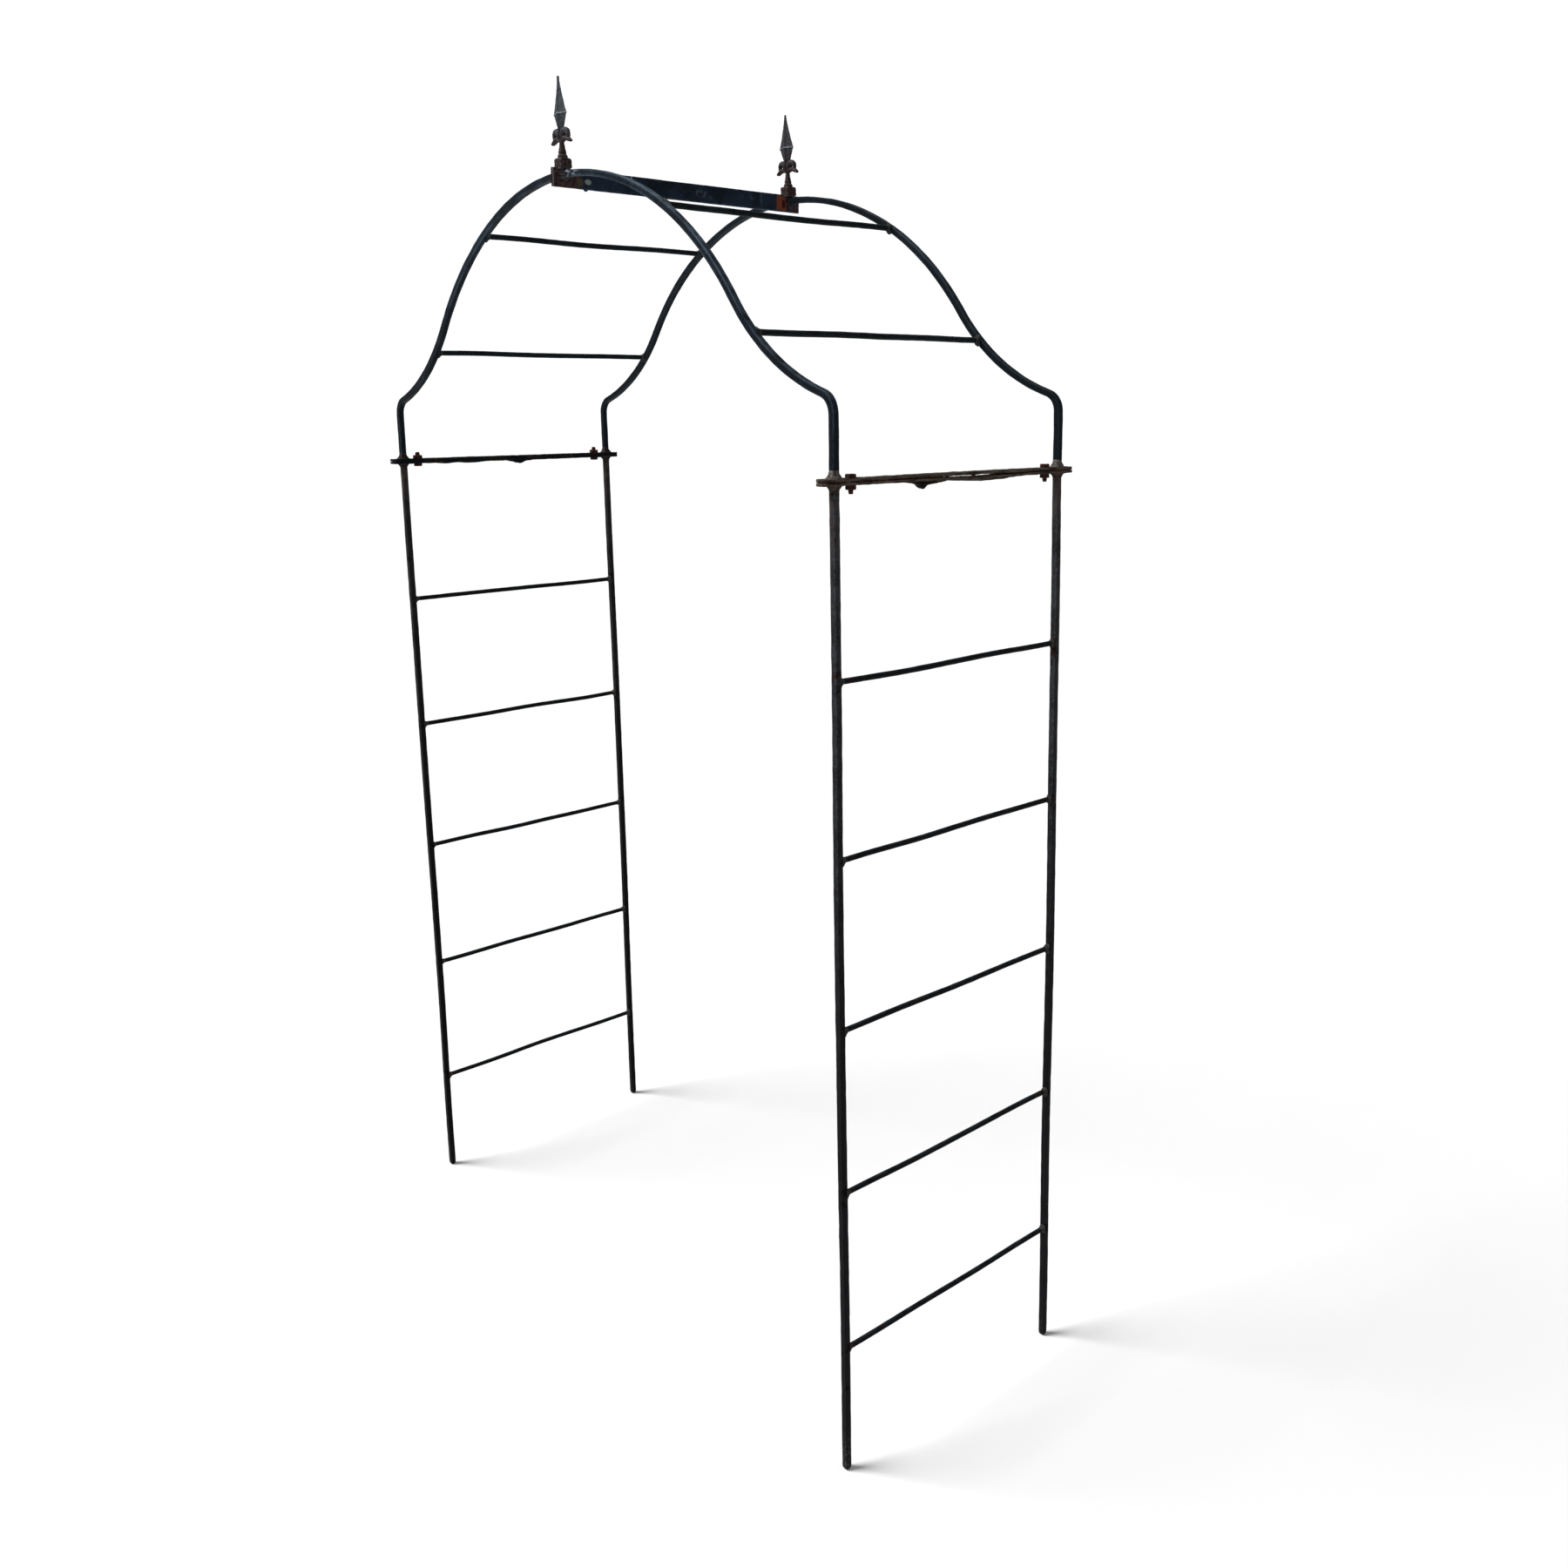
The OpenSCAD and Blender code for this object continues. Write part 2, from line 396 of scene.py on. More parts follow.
def weathered(name, paint, faded, wear_and_highlight, dust_and_top_light, specks, mottle,
              specular=0.04, rusting=0.0, rub_and_highlight_length=11, extra=None):
    """Old paint with rust by the welds, pits and pale specks.

    rub_and_highlight_length is the length in mm of the worn and highlighted stretches along the edges, and
    rusting moves the amount of rust up or down.
    extra is a function that takes the look and its colour and returns the colour with more on it."""
    look = Look(name, specular)
    grain = look.noise(5, detail=5, seed=2)
    base = coat(look, grain, paint, faded, wear_and_highlight, dust_and_top_light, mottle, rub_and_highlight_length)
    dark_rust = shade(RUST, 0.4)
    rust_colour = look.mix(look.spots(0.35, 0.65, 4, seed=5), dark_rust, RUST)
    near_weld = look.times(look.marked("joint"), 0.22)
    spread = look.plus(look.noise(14, detail=6, seed=6), near_weld, rusting)
    rusty = look.mask(spread, 0.62, 0.72)
    base = look.mix(rusty, base, rust_colour)
    pits = look.spots(0.62, 0.7, 2.6, detail=2, seed=7)
    base = look.mix(look.times(pits, 0.6), base, dark_rust)
    pale = look.spots(0.73, 0.78, 2.0, detail=1, seed=8)
    base = look.mix(look.times(pale, specks), base, PALE_SPECK)
    if extra:
        base = extra(look, base)
    rough = look.add(
        "ShaderNodeMapRange",
        {"Value": look.plus(rusty, look.times(grain, 0.4)), "To Min": 0.42, "To Max": 0.85},
    )
    height = look.plus(look.times(grain, 0.5), look.times(rusty, 0.3), look.times(pits, -0.5))
    return look.finish(base, rough.outputs[0], height, 0.5)


def leg_marks(look, base):
    """Blacker paint on the left legs, painted shade on the faces towards +X, darker towards the ground, a
    stain at the top, soil on the tips.
    """
    x = look.axis("X")
    z = look.axis("Z")
    left = look.mask(x, 0.1, -0.1)
    base = look.mix(look.times(left, 0.6), base, colour(9, 7, 7))
    top = look.mask(z, MM * (LEG_TOP - 130), MM * LEG_TOP)
    stain = look.times(top, look.spots(0.35, 0.6, 20, seed=10))
    base = look.mix(look.times(stain, 0.7), base, colour(56, 46, 43))
    # Painted shade: faces towards +X are darker below about 1.1 m, fading out by 1.48 m.
    painted_shade_side = look.times(look.mask(look.axis("X", look.normal), 0.4, 0.9), look.mask(z, 1.48, 1.10))
    base = look.mix(look.times(painted_shade_side, 0.45), base, colour(6, 6, 8))
    # Darker towards the ground.
    low = look.mask(z, 1.35, 0.55)
    base = look.mix(look.times(low, 0.86), base, colour(4, 4, 6))
    front_right = look.times(look.mask(x, -0.1, 0.1), look.mask(look.axis("Y"), 0.1, -0.1))
    amount = look.plus(look.times(front_right, 0.8), 0.2)
    tip = look.mask(z, 0.09, 0.0)
    soil = look.times(tip, look.spots(0.46, 0.62, 3.5, detail=4, seed=9), amount)
    return look.mix(soil, base, colour(56, 52, 50))


def hoop_marks(look, base):
    """Darker low on both hoops and over the rear hoop, and bright ground metal beside the ridge in front."""
    low = look.mask(look.axis("Z"), 1.93, 1.70)
    base = look.mix(look.times(low, 0.6), base, colour(2, 6, 10))
    rear = look.mask(look.axis("Y"), 0.1, 0.2)
    base = look.mix(look.times(rear, 0.6), base, colour(2, 7, 11))
    streaks = look.spots(0.52, 0.6, 3.2, detail=4, seed=13, stretch=(3, 1, 1))
    beside = look.near(12, -LEG_Y - 2, RIDGE_HIGH.z - 1, 6, 26, (1.8, 1, 1))
    right = look.mask(look.axis("X"), 0.0, MM * 4)
    return look.mix(look.times(streaks, beside, right), base, colour(104, 110, 116))


def ridge_ends(look, base, along, ragged):
    """Brown rust on both ends of the ridge, dark on the front end's face, with a painted highlight along one
    corner of it.
    """
    blotches = look.spots(0.35, 0.65, 5, seed=12)
    rust_brown = look.mix(blotches, colour(30, 19, 20), colour(56, 42, 43))
    ragged_along = look.plus(along, ragged)
    base = look.mix(look.mask(ragged_along, -0.212, -0.218), base, rust_brown)
    end_face = look.mask(look.axis("Y", look.normal), -0.6, -0.9)
    base = look.mix(end_face, base, colour(14, 4, 5))
    # Painted highlight: a light line down the right-hand corner of the front end.
    foremost = look.mask(along, MM * (RIDGE_LOW.y + 1.3), MM * (RIDGE_LOW.y + 0.7))
    right = look.mask(look.axis("X"), MM * 1.4, MM * 2.2)
    base = look.mix(look.times(foremost, right, 0.9), base, colour(96, 92, 92))
    return look.mix(look.times(look.mask(ragged_along, 0.236, 0.242), 0.8), base, rust_brown)


def ridge_patch(look, base, along, ragged):
    """A squarish patch of orange rust just in front of the rear hoop, with a dark crescent in it."""
    top = RIDGE_HIGH.z
    uneven = look.times(ragged, 0.22)
    across = look.plus(along, uneven)
    level = look.plus(look.axis("Z"), uneven)
    patch = look.times(
        look.mask(across, 0.2080, 0.2095), look.mask(across, 0.2315, 0.2300),
        look.mask(level, MM * (top - 28), MM * (top - 26)), look.mask(level, MM * (top - 1), MM * (top - 3)),
    )
    base = look.mix(patch, base, colour(84, 42, 28))
    crescent = look.times(look.near(RIDGE_HIGH.x, 225, top - 17, 5, 2, (1, 0.7, 1.3)), patch)
    return look.mix(crescent, base, colour(38, 9, 5))


def ridge_marks(look, base):
    """Rusted ends, an orange patch, a pale chip by the front hoop, a nick, flecks and a streak."""
    along = look.axis("Y")
    ragged = look.times(look.plus(look.noise(9, detail=5, seed=11), -0.5), 0.03)
    top = RIDGE_HIGH.z
    base = ridge_ends(look, base, along, ragged)
    chip = look.near(RIDGE_HIGH.x, -196, top - 18, 4.0, 1.5, (1, 1.3, 0.9))
    base = look.mix(chip, base, colour(92, 102, 95))
    olive = look.near(RIDGE_HIGH.x, -212, top - 20, 3, 8)
    base = look.mix(olive, base, colour(52, 46, 34))
    base = ridge_patch(look, base, along, ragged)
    nick = look.near(RIDGE_HIGH.x, -110, top - 3, 1.2, 2, (1, 0.7, 1.6))
    base = look.mix(nick, base, colour(108, 116, 122))
    flecks = look.spots(0.44, 0.56, 5, detail=4, seed=14)
    for y, depth, size in ((32, 14, 5.0), (44, 17, 4.2), (58, 20, 1.4), (150, 12, 1.6)):
        fleck = look.times(look.near(RIDGE_HIGH.x, y, top - depth, size, 4), flecks, 0.6)
        base = look.mix(fleck, base, colour(60, 66, 74))
    streak = look.near(RIDGE_HIGH.x, 172, top - 12, 1.5, 5, (1, 0.5, 3))
    return look.mix(look.times(streak, 0.4), base, colour(60, 68, 74))


def rusted_flat(name, brown, olive, red, blue=None):
    """Flat bar with the paint gone: layered brown rust, olive lichen, and dark red where water stays.

    blue is the colour of what paint is left, where there is any."""
    look = Look(name, 0.05)
    grain = look.noise(6, detail=6, seed=1)
    layers = look.noise(7, detail=4, seed=2, stretch=(1, 4, 0.35))
    dark = shade(brown, 0.25)
    base = look.mix(look.mask(layers, 0.40, 0.60), dark, brown)
    base = look.mix(look.spots(0.5, 0.66, 26, detail=4, seed=3), base, olive)
    base = look.mix(look.times(look.mask(grain, 0.55, 0.7), 0.5), base, colour(66, 62, 57))
    if blue:
        base = look.mix(look.spots(0.4, 0.52, 45, detail=5, seed=4), base, blue)
    z = look.axis("Z")
    seam = look.times(
        look.mask(z, MM * (JOINT_Z - 1.5), MM * (JOINT_Z - 0.7)),
        look.mask(z, MM * (JOINT_Z + 1.5), MM * (JOINT_Z + 0.7)),
    )
    base = look.mix(look.times(seam, look.spots(0.25, 0.42, 16, seed=5)), base, red)
    # Painted shade: faces that look downward are darkened towards the dark rust colour.
    under = look.mask(look.axis("Z", look.normal), -0.3, -0.9)
    base = look.mix(look.times(under, 0.8), base, dark)
    lichen = look.times(look.spots(0.64, 0.72, 6, detail=3, seed=6), 0.6)
    base = look.mix(lichen, base, colour(62, 60, 34))
    height = look.plus(grain, look.times(layers, 0.8))
    return look.finish(base, 0.85, height, 1.0)


def weld_look(name, pale, dark, red, painted_highlight=0.25):
    """Lumpy weld metal: pale or rusty crests and dark hollows, and a painted highlight on its sharpest
    points.
    """
    look = Look(name, 0.08)
    grain = look.noise(2.5, detail=4, seed=1)
    base = look.mix(look.mask(grain, 0.4, 0.62), dark, pale)
    base = look.mix(look.spots(0.5, 0.62, 7, detail=3, seed=2), base, red)
    # Painted highlight on the convex points.
    base = look.mix(look.times(look.marked("edge"), painted_highlight), base, colour(104, 102, 98))
    return look.finish(base, 0.75, grain, 0.7)


def casting_look(name):
    """Cast finial: grey above, purple-brown below and at the rear, pale worn edges with a painted highlight
    on them, and pale where it is widest.
    """
    look = Look(name, 0.08)
    grain = look.noise(3, detail=5, seed=1)
    z = look.axis("Z")
    foot = MM * RIDGE_HIGH.z
    wavering = look.plus(z, look.times(look.plus(look.noise(12, seed=2), -0.5), 0.04))
    lower = look.mask(wavering, foot + 0.082, foot + 0.030)
    grey = look.mix(look.mask(grain, 0.35, 0.65), colour(34, 39, 44), colour(54, 60, 66))
    blotches = look.spots(0.38, 0.62, 5, detail=4, seed=3)
    brown = look.mix(blotches, colour(22, 13, 13), colour(52, 38, 38))
    rear = look.times(look.mask(look.axis("Y"), 0.1, 0.2), 0.5)
    base = look.mix(rear, look.mix(lower, grey, brown), colour(30, 14, 13))
    # Edges turn pale: worn metal, and a painted highlight.
    rubbed_and_highlight = look.times(look.marked("edge"), look.spots(0.3, 0.6, 6, seed=4), 0.45)
    base = look.mix(rubbed_and_highlight, base, colour(84, 86, 86))
    from_widest = look.maths("ABSOLUTE", look.plus(z, -foot - MM * (WIDEST + 0.6)), 0.0)
    crest = look.mask(from_widest, MM * 1.3, MM * 0.5)
    worn = look.times(crest, look.spots(0.35, 0.5, 7, seed=6))
    base = look.mix(look.times(worn, 0.8), base, colour(104, 112, 118))
    pits = look.spots(0.62, 0.7, 2.2, detail=2, seed=5)
    base = look.mix(look.times(pits, 0.5), base, colour(12, 9, 9))
    return look.finish(base, 0.62, look.plus(look.times(grain, 0.6), look.times(pits, -0.4)), 0.5)


def fastener_look(name):
    """Bolts and nuts under matt reddish-brown rust."""
    look = Look(name, 0.06)
    grain = look.noise(2.5, detail=5, seed=1)
    base = look.mix(look.mask(grain, 0.36, 0.64), colour(18, 6, 5), colour(64, 37, 30))
    base = look.mix(look.spots(0.52, 0.66, 6, seed=2), base, colour(30, 23, 20))
    base = look.mix(look.times(look.marked("edge"), 0.3), base, colour(72, 46, 38))
    return look.finish(base, 0.85, grain, 0.6)


leg_paint = weathered(
    "leg_paint", colour(34, 35, 38), colour(56, 58, 60),
    wear_and_highlight=0.3, dust_and_top_light=0.3, specks=0.3, mottle=0.5, extra=leg_marks,
)
rung_paint = weathered(
    "rung_paint", colour(3, 5, 7), colour(26, 31, 35),
    wear_and_highlight=0.03, dust_and_top_light=0.7, specks=0.2, mottle=0.25,
)
arch_rung_paint = weathered(
    "arch_rung_paint", colour(7, 14, 18), colour(38, 48, 52),
    wear_and_highlight=0.03, dust_and_top_light=0.8, rusting=-0.08, specks=0.2, mottle=0.2,
)
hoop_paint = weathered(
    "hoop_paint", colour(10, 18, 26), colour(54, 66, 77),
    specular=0.05, wear_and_highlight=0.55, dust_and_top_light=1.0, rusting=-0.06, specks=0.2, mottle=0.12, rub_and_highlight_length=90, extra=hoop_marks,
)
ridge_paint = weathered(
    "ridge_paint", colour(18, 28, 40), colour(34, 46, 58),
    wear_and_highlight=0.5, dust_and_top_light=0.4, rusting=-0.08, specks=0.0, mottle=0.15, extra=ridge_marks,
)
flat_right = rusted_flat("rusted_flat_right", colour(66, 57, 51), colour(54, 49, 38), colour(30, 5, 3))
flat_left = rusted_flat(
    "rusted_flat_left", colour(34, 32, 31), colour(20, 26, 24), colour(18, 5, 3), blue=colour(5, 12, 17)
)
weld_pale = weld_look("weld_pale", colour(84, 80, 74), colour(30, 24, 22), colour(42, 31, 26))
weld_red = weld_look("weld_red", colour(56, 46, 42), colour(14, 8, 7), colour(30, 12, 9))
weld_left = weld_look("weld_left", colour(36, 26, 24), colour(9, 4, 4), colour(24, 9, 7), 0.1)
weld_dull = weld_look("weld_dull", colour(28, 30, 30), colour(6, 6, 7), colour(20, 14, 11))
weld_blue = weld_look("weld_blue", colour(18, 25, 31), colour(4, 6, 9), colour(12, 14, 16))
weld_bright = weld_look("weld_bright", colour(74, 74, 78), colour(26, 19, 20), colour(36, 29, 31))
rust_scale = weld_look("rust_scale", colour(22, 13, 11), colour(4, 2, 1), colour(12, 4, 3), 0.0)
casting = casting_look("finial_casting")
fastener = fastener_look("rusted_fastener")


# -------- hoop line and welded joints
BAR_PITCH = 6
BAR_TURN = 5
BURIED = 0.5


def hoop_line():
    """Centreline of the right-hand hoop half as (x, z, heading), from its foot to the ridge face."""
    line = []

    def arc(cx, cz, radius, start, stop, turn):
        length = abs(math.radians(stop - start)) * radius
        count = max(2, math.ceil(max(abs(stop - start) / BAR_TURN, length / BAR_PITCH)))
        for i in range(count + 1):
            a = math.radians(start + (stop - start) * i / count)
            line.append((cx + radius * math.cos(a), cz + radius * math.sin(a), math.degrees(a) + turn))

    shoulder_z = HOOP_FOOT_Z + STUB_H
    for z in steps(HOOP_FOOT_Z - BURIED, shoulder_z - 4, BAR_PITCH):
        line.append((LEG_X, z, 90))
    arc(LEG_X - SHOULDER_R, shoulder_z, SHOULDER_R, 0, SHOULDER_TURN, 90)
    heading = math.radians(90 + SHOULDER_TURN)
    x = line[-1][0] + SHOULDER_RUN * math.cos(heading)
    z = line[-1][1] + SHOULDER_RUN * math.sin(heading)
    flare_x = x + FLARE_R * math.sin(heading)
    flare_z = z - FLARE_R * math.cos(heading)
    start = 180 + SHOULDER_TURN
    arc(flare_x, flare_z, FLARE_R, start, start - FLARE_TURN, -90)
    heading = math.radians(90 + SHOULDER_TURN - FLARE_TURN)
    x = line[-1][0] + CROWN_RUN * math.cos(heading)
    z = line[-1][1] + CROWN_RUN * math.sin(heading)
    crown_r = x / math.sin(heading)
    crown_z = z + crown_r * math.cos(heading)
    stop = math.degrees(math.acos((RIDGE_HIGH.x - BURIED) / crown_r))
    arc(0, crown_z, crown_r, math.degrees(heading) - 90, stop, 90)
    return line


HOOP = hoop_line()


def rung_nodes():
    for side in SIDES:
        for i in RUNGS:
            yield f"{side}_rung_{i}"
        for level in LEVELS:
            yield f"{side}_{level}_arch_rung"


def find_welds():
    """Lists the middles of the welded joints, for the rust round them."""
    for node in rung_nodes():
        at = middle(node)
        for end in (-1, 1):
            WELDS.append(Vector((at.x, end * (LEG_Y - BAR / 2), at.z)))
    for side in (-1, 1):
        for end in (-1, 1):
            WELDS.append(Vector((side * LEG_X, end * LEG_Y, LEG_TOP)))
            WELDS.append(Vector((side * LEG_X, end * LEG_Y, HOOP_FOOT_Z)))
            WELDS.append(Vector((side * RIDGE_HIGH.x, end * LEG_Y, HOOP[-1][1])))


find_welds()


# -------- bars
FOOT_TAPER = 9
FOOT_TIP = 0.5
BAR_CORNER = 0.7
PAINT = 0.3
RUNG_PAINT = 0.4
BAR_OUTLINE = rounded(BAR + 2 * PAINT, BAR + 2 * PAINT, BAR_CORNER, 3.4)
BAR_LUMPS = ((0.35, 22), (0.18, 6))
RUNG_LUMPS = ((0.25, 15), (0.12, 5))
RIDGE_LUMPS = ((0.35, 24), (0.2, 7))
LEG_WAVE = 420
RUNG_WAVE = (160, 170)
HOOP_WAVE = 240


def leg(side, end, seed):
    """Square bar with a blunt tapered tip, a little bent, and true at its top."""
    rings = []
    for z in steps(0, FOOT_TAPER, 1) + steps(FOOT_TAPER, LEG_TOP, BAR_PITCH)[1:]:
        if z < FOOT_TAPER:
            size = FOOT_TIP + (1 - FOOT_TIP) * math.sqrt(1 - (1 - z / FOOT_TAPER) ** 2)
        else:
            size = 1.0
        hold = min(1.0, (LEG_TOP - z) / 150)
        drift_x = wander(seed, z, LEG_WAVE, 3.0) * hold
        drift_y = wander(seed + 20, z, LEG_WAVE, 2.0) * hold
        centre = Vector((SIDES[side] * LEG_X + drift_x, ENDS[end] * LEG_Y + drift_y, z))
        rings.append(section(centre, X, Y, BAR_OUTLINE, size))
    name = f"{side}_{end}_leg"
    lofted(f"{name}_bar", rings, leg_paint, "leg_paint", [name], BAR_LUMPS, seed)


def rung(node, seed):
    """Round bar between the front and rear bars, a little bent between its two ends."""
    low, high = span(node)
    at = (low + high) / 2
    radius = (high.z - low.z) / 2
    outline = circle(radius + RUNG_PAINT, 14)
    rings = []
    half = (high.y - low.y) / 2 + 2
    for y in steps(-half, half, 8):
        hold = 1 - (abs(y) / half) ** 4
        drift_x = wander(seed, y, RUNG_WAVE[0], 1.6) * hold
        drift_z = wander(seed + 9, y, RUNG_WAVE[1], 2.4) * hold
        rings.append(section(Vector((at.x + drift_x, y, at.z + drift_z)), X, Z, outline))
    paint = arch_rung_paint if "arch" in node else rung_paint
    lofted(f"{node}_bar", rings, paint, "rung_paint", [node], RUNG_LUMPS, seed)


def hoop(side, end, seed):
    """Square bar bent along the hoop's line, held true at its foot and at the ridge."""
    rings = []
    length = 0.0
    before = None
    for x, z, heading in HOOP:
        if before:
            length += math.hypot(x - before[0], z - before[1])
        before = (x, z)
        angle = math.radians(heading - 90)
        out = Vector((SIDES[side] * math.cos(angle), 0, math.sin(angle)))
        hold = min(1.0, (z - HOOP_FOOT_Z) / 60, x / 60)
        drift = wander(seed, length, HOOP_WAVE, 1.6) * max(0.0, hold)
        centre = Vector((SIDES[side] * x, ENDS[end] * LEG_Y + drift, z))
        rings.append(section(centre, out, Y, BAR_OUTLINE))
    name = f"{end}_{side}_hoop"
    lofted(f"{name}_bar", rings, hoop_paint, "hoop_paint", [name], BAR_LUMPS, seed)


def ridge():
    """Flat bar on edge, with a drip of weld metal under it near the front hoop."""
    low, high = RIDGE_LOW, RIDGE_HIGH
    outline = rounded(high.x - low.x, high.z - low.z, 0.9, 3)
    mid_z = (low.z + high.z) / 2
    rings = [section(Vector((0, y, mid_z)), X, Z, outline) for y in steps(low.y, high.y, 5)]
    shell = Shell()
    shell.loft(rings)
    drop(shell, Vector((1.5, -200, low.z - 0.3)), (3.2, 3.6, 3.0), 4)
    piece("ridge_flat_bar", shell, ridge_paint, "ridge_paint", ["ridge_bar"], RIDGE_LUMPS, 3)


def drop(shell, centre, radii, seed):
    """A small lumpy drop."""
    rings = []
    for i in range(1, 8):
        polar = math.pi * i / 8
        ring = []
        for turn in turns(12):
            across = math.sin(polar)
            unit = Vector((across * math.cos(turn), across * math.sin(turn), math.cos(polar)))
            lump = 1 + 0.25 * noise.noise(unit * 1.7 + Vector((seed * 2.3, 0, 0)))
            ring.append(centre + Vector((unit.x * radii[0], unit.y * radii[1], unit.z * radii[2])) * lump)
        rings.append(ring)
    shell.loft(rings)


# -------- flat bars
def hump(place, centre, half_width):
    """Smooth bump: 1 at its centre, 0 beyond half_width."""
    t = (place - centre) / half_width
    return (1 - t * t) ** 2 if abs(t) < 1 else 0.0


PLATE_LUMPS = ((0.45, 11), (0.3, 4))
FLAKE_LUMPS = ((0.7, 6), (0.5, 2.5))


def plate_shape(side, upper, y):
    """How far a flat bar is lifted and how much thicker it is at one place. The lower right one sags."""
    if upper:
        return (0.35 * hump(y, 20, 190) if side == "right" else 0.0), 0.0
    if side == "right":
        return -1.9 * hump(y, 45, 120), 2.4 * hump(y, 60, 80)
    return -0.1 * hump(y, -30, 190), 1.6 * hump(y, -150, 30) + 1.9 * hump(y, -95, 34)


def flat_bar(node, side, upper, seed):
    """Flat bar swollen by rust, with a ragged underside and edges."""
    low, high = span(node)
    width = high.x - low.x
    thick = high.z - low.z
    mid = (low + high) / 2
    outline = rounded(width, thick, 1.1, 2.2)
    rings = []
    for y in steps(low.y, high.y, 4):
        lift, swell = plate_shape(side, upper, y)
        ragged = 0.5 * noise.noise(Vector((y / 13, seed * 3.1, 1.5)))
        ring = []
        for a, b in outline:
            sunk = swell + ragged if b < 0 else 0.0
            side_cut = 0.6 * noise.noise(Vector((y / 17, seed * 2.3, a / 9)))
            ring.append(Vector((mid.x + a * (1 + side_cut / width * 2), y, mid.z + lift + b - sunk)))
        rings.append(ring)
    material = flat_right if side == "right" else flat_left
    lofted(f"{node}_plate", rings, material, "rusted_flat", [node], PLATE_LUMPS, seed)


def flake(name, profile, x_low, x_high, material, seed):
    """A scale of rust that hangs from the underside of a flat bar. profile holds its (y, depth) points."""
    fine = []
    for (y0, d0), (y1, d1) in zip(profile, profile[1:]):
        for t in (0.0, 0.25, 0.5, 0.75):
            fine.append((y0 + (y1 - y0) * t, d0 + (d1 - d0) * t))
    fine.append(profile[-1])
    top = LEG_TOP + 1
    rings = []
    for y, depth in fine:
        bottom = LEG_TOP - depth - 0.4
        lean = 0.25 * depth
        outline = [Vector((x_low + (x_high - x_low) * t, y, top)) for t in (0.0, 0.5, 1.0)]
        for t in (1.0, 0.66, 0.33, 0.0):
            x = x_low + lean + (x_high - x_low - lean) * t
            outline.append(Vector((x, y, bottom - 0.8 * math.sin(math.pi * t))))
        rings.append(outline)
    lofted(name, rings, material, "rusted_flat", (), FLAKE_LUMPS, seed)


# -------- welds
SEED_STEP = 1.37


def fillet(distance, reach, power):
    """Share of a weld's reach at a distance from its joint, and how much weld is left there."""
    t = max(0.0, min(1.0, distance / reach))
    return t, (1 - t) ** power


def rung_weld(shell, at, inward, radius, seed):
    """Fillet round the end of a rung, where it meets the face of a square bar. It is heavier below."""
    rings = []
    reach = 6.5
    widest = BAR / 2 + 0.4
    for s in (-1.2, 0.0, 0.8, 1.8, 3.0, 4.4, reach, reach + 0.4):
        left = fillet(s, reach, 1.7)[1]
        ring = []
        for turn in turns(20):
            across = math.cos(turn)
            up = math.sin(turn)
            lump = 1.1 * noise.noise(Vector((seed, across * 1.4, up * 1.4 + s * 0.25)))
            grow = 2.6 + (2.6 if up < 0 else 0.6) * abs(up) + lump
            r = radius + RUNG_PAINT + 0.15 + grow * left
            if s > reach:
                r = radius - 0.8
            x = max(-widest, min(widest, across * r))
            ring.append(at + Vector((x, inward * s, up * r)))
        rings.append(ring)
    shell.loft(rings)


def square_weld(shell, at, axis, a, b, half, spread_a, spread_b, reach, seed):
    """Fillet round the end of a square bar, where it meets a flat face.

    axis points up the bar, and a and b across it. half is half the width it dies out to, and spread_a
    and spread_b are how far it stands out along a and b at the joint."""
    rings = []
    for s in (-0.8, 0.0, 1.0, 2.2, 3.6, 5.4, 7.4, reach, reach + 0.5):
        t, left = fillet(s, reach, 1.8)
        ring = []
        for turn in turns(28):
            c, d = math.cos(turn), math.sin(turn)
            square = 1 / max(abs(c), abs(d))
            soft = 1 + (square - 1) * (0.35 + 0.6 * t)
            lump = 1 + 0.22 * noise.noise(Vector((seed * 1.7 + c * 1.5, d * 1.5, s * 0.22)))
            grow_a = half + PAINT + 0.1 + spread_a * left * lump
            grow_b = half + PAINT + 0.1 + spread_b * left * lump
            if s > reach:
                grow_a = grow_b = half - 0.9
            ring.append(at + axis * s + a * (c * soft * grow_a) + b * (d * soft * grow_b))
        rings.append(ring)
    shell.loft(rings)


def rung_welds(side, seed):
    """Both ends of every rung on one side: the panel's in one piece and the arch's in another."""
    panel = Shell()
    arch = Shell()
    for node in rung_nodes():
        if not node.startswith(side):
            continue
        low, high = span(node)
        at = (low + high) / 2
        shell = arch if "arch" in node else panel
        for end in (-1, 1):
            seed += SEED_STEP
            joint = Vector((at.x, end * (LEG_Y - BAR / 2), at.z))
            rung_weld(shell, joint, -end, (high.z - low.z) / 2, seed)
    piece(f"{side}_rung_welds", panel, weld_dull, "leg_paint", (), ((0.3, 3),), seed)
    piece(f"{side}_arch_rung_welds", arch, weld_blue, "hoop_paint", (), ((0.3, 3),), seed)
    return seed


def flat_bar_welds(side, seed):
    """The hoops' feet on the upper flat bar, and the tops of the legs under the lower one."""
    above = Shell()
    below = Shell()
    for end in (-1, 1):
        seed += SEED_STEP
        corner = Vector((SIDES[side] * LEG_X, end * LEG_Y, 0))
        square_weld(above, corner + Z * HOOP_FOOT_Z, Z, X, Y, BAR / 2, 4.8, 7.0, 11, seed)
        square_weld(below, corner + Z * LEG_TOP, -Z, X, Y, BAR / 2, 4.2, 5.6, 9, seed + 3)
    above_look, below_look = (weld_pale, weld_red) if side == "right" else (weld_left, weld_left)
    piece(f"{side}_hoop_foot_welds", above, above_look, "rusted_flat", (), ((0.5, 4),), seed)
    piece(f"{side}_leg_top_welds", below, below_look, "rusted_flat", (), ((0.5, 4),), seed)
    return seed


